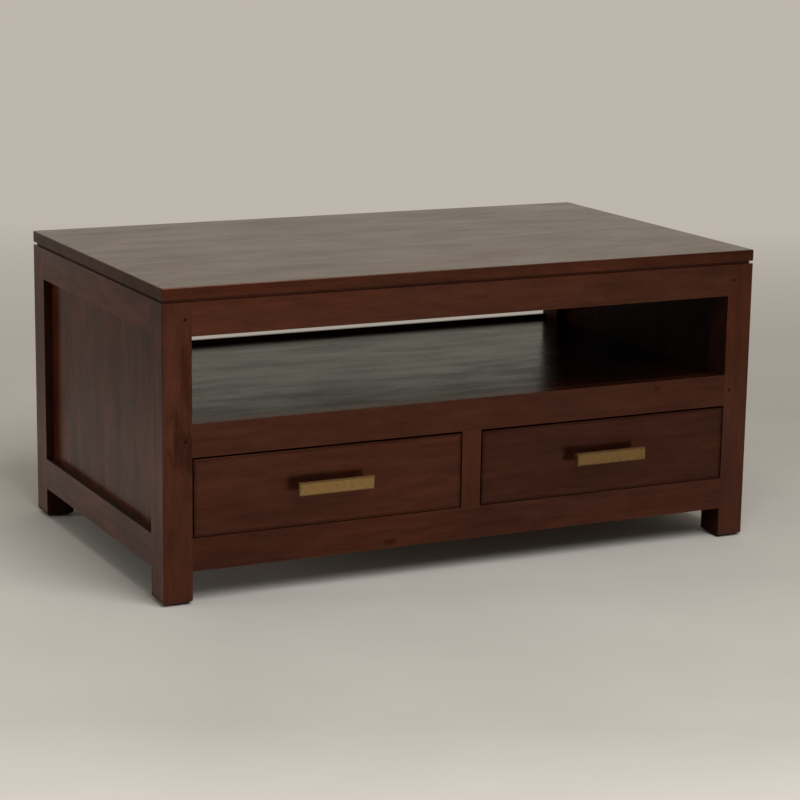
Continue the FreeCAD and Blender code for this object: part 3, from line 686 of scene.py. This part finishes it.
def lay_board(piece):
    """Store how a board's grain runs, where the heart of its log lay, and its own colour, shine and marks;
    the colour and shine partly carry painted light and shade.
    """
    draw = random.Random(piece.name)
    low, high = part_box(piece.name)
    size = high - low
    through, across, along = sorted(range(len(AXES)), key=lambda axis: size[axis])
    if piece.name in UPRIGHT_GRAIN:
        along, across = across, along
    away = draw.choice((-1, 1)) * draw.uniform(*HEART_DISTANCE)
    aside = draw.uniform(-HEART_SHIFT_SHARE, HEART_SHIFT_SHARE) * size[across]
    far_along = draw.uniform(*HEART_FAR_ALONG)
    middle = (low + high) / 2
    heart = middle + AXES[through] * away + AXES[across] * aside - AXES[along] * far_along
    piece["heart"] = list(heart)
    piece["grain_along"] = list(AXES[along])
    piece["grain_across"] = list(AXES[across])
    piece["grain_through"] = list(AXES[through])
    piece["tone"] = TONES_AND_PAINTED_LIGHT.get(piece.name, draw.uniform(*TONE_RANGE))
    piece["shine"] = SHINES_AND_PAINTED_LIGHT.get(piece.name, 1.0)
    piece["gap_edge_shade"] = float(piece.name in GAP_SHADED_PIECES)
    piece["box_middle"] = list(middle)
    piece["box_half"] = list(size / 2)
    ways = (AXES[along], AXES[across], AXES[through])
    marks = MARKS.get(piece.name, ())
    for number in range(MOST_MARKS):
        mark = marks[number] if number < len(marks) else NO_MARK
        piece[f"mark_{number}"] = [way.dot(Vector(mark["place"]) - heart) for way in ways]
        piece[f"mark_reach_{number}"] = [mark["length"], mark["width"], mark["width"]]


def dress_nodes():
    finishes = {
        "stained_wood": stained_wood("stained_wood_finish", PLAIN_LACQUER),
        "inner_wood": raw_wood("inner_wood_finish", INNER_WOOD),
        "drawer_box_wood": raw_wood("drawer_box_wood_finish", DRAWER_BOX_WOOD),
        "peg_wood": peg_wood(),
        "brass": brass(),
        "screw_steel": screw_steel(),
        "glide_plastic": glide_plastic(),
    }
    for piece in nodes.values():
        lay_board(piece)
        for slot in piece.material_slots:
            slot.material = finishes[slot.material.name]
    nodes["shelf_board"].material_slots[0].material = stained_wood("shelf_finish", SHELF_LACQUER)


# Studio


def floor_material():
    """A pale floor that runs into an even backdrop where it is seen far behind the table."""
    material, tree, shader = new_material("studio_floor")
    place = object_place(tree)
    colour = ramp(tree, noise(tree, place, **FLOOR_CLOUDS), FLOOR_COLOURS)
    ahead = vector_math(tree, "DOT_PRODUCT", place, VIEW_AHEAD)
    sideways = vector_math(tree, "DOT_PRODUCT", place, VIEW_RIGHT)
    # Painted shade at the far left, painted fill light on the left and a painted glow towards the front
    shade = product(tree, [
        spread(tree, sideways, *LEFT_SHADE_REACH, LEFT_SHADE, 1.0),
        spread(tree, sideways, *LEFT_FILL_REACH, LEFT_FILL, 1.0),
        spread(tree, ahead, *NEAR_GLOW_REACH, 1.0, NEAR_GLOW),
    ])
    plug(tree, shader, Base_Color=times(tree, colour, shade))
    shader.inputs["Roughness"].default_value = FLOOR_ROUGHNESS
    shader.inputs["Specular IOR Level"].default_value = FLOOR_SHINE
    path = add(tree, "ShaderNodeLightPath").outputs
    seen = math_node(tree, "MAXIMUM", path["Is Camera Ray"], path["Is Glossy Ray"])
    seen = math_node(tree, "MAXIMUM", seen, path["Is Transmission Ray"])
    far = spread(tree, ahead, *BACKDROP_REACH)
    backdrop = add(tree, "ShaderNodeEmission", {"Color": (*BACKDROP_COLOUR, 1.0)})
    blend = add(tree, "ShaderNodeMixShader", {
        "Fac": math_node(tree, "MULTIPLY", far, seen), 1: shader.outputs[0], 2: backdrop.outputs[0]})
    tree.links.new(blend.outputs[0], tree.nodes["Material Output"].inputs["Surface"])
    return material


def make_floor():
    half = FLOOR_SIZE / 2
    corners = [(-half, -half, 0), (half, -half, 0), (half, half, 0), (-half, half, 0)]
    mesh = bpy.data.meshes.new("studio_floor")
    mesh.from_pydata(corners, [], [range(len(corners))])
    mesh.materials.append(floor_material())
    floor = bpy.data.objects.new("studio_floor", mesh)
    bpy.context.scene.collection.objects.link(floor)


def make_world():
    """A soft glow all round, dimmer on the camera's side and on the left."""
    world = bpy.data.worlds.new("studio")
    bpy.context.scene.world = world
    world.use_nodes = True
    tree = world.node_tree
    way = add(tree, "ShaderNodeTexCoord").outputs["Generated"]
    brightness = spread(tree, vector_math(tree, "DOT_PRODUCT", way, WORLD_BRIGHT_WAY), *WORLD_TURN)
    colour = mix(tree, brightness, *WORLD_COLOURS)
    tree.links.new(colour, tree.nodes["Background"].inputs["Color"])


def make_lamps():
    for name, setting in LAMPS.items():
        lamp = bpy.data.lights.new(name, "AREA")
        lamp.shape = "DISK"
        lamp.size = setting["size"]
        lamp.energy = setting["power"]
        lamp.spread = math.radians(setting["spread"])
        stand = bpy.data.objects.new(name, lamp)
        stand.location = setting["place"]
        stand.rotation_euler = (LAMP_AIM - stand.location).to_track_quat("-Z", "Y").to_euler()
        stand.visible_camera = False
        stand.visible_glossy = setting["mirrored"]
        bpy.context.scene.collection.objects.link(stand)


def make_camera():
    back = Vector((
        math.sin(CAMERA_AZIMUTH) * math.cos(CAMERA_ELEVATION),
        -math.cos(CAMERA_AZIMUTH) * math.cos(CAMERA_ELEVATION),
        math.sin(CAMERA_ELEVATION),
    ))
    level = AXES[2].cross(back).normalized()
    upright = back.cross(level)
    right = math.cos(CAMERA_ROLL) * level + math.sin(CAMERA_ROLL) * upright
    up = math.cos(CAMERA_ROLL) * upright - math.sin(CAMERA_ROLL) * level
    lens = bpy.data.cameras.new("photo_camera")
    lens.lens = CAMERA_LENS_MM
    lens.sensor_width = CAMERA_SENSOR_MM
    camera = bpy.data.objects.new("photo_camera", lens)
    turn = Matrix((right, up, back)).transposed().to_4x4()
    camera.matrix_world = Matrix.Translation(CAMERA_TARGET + back * CAMERA_DISTANCE) @ turn
    bpy.context.scene.collection.objects.link(camera)
    bpy.context.scene.camera = camera


dress_nodes()
make_floor()
make_world()
make_lamps()
make_camera()
bpy.context.scene.view_settings.view_transform = "Standard"
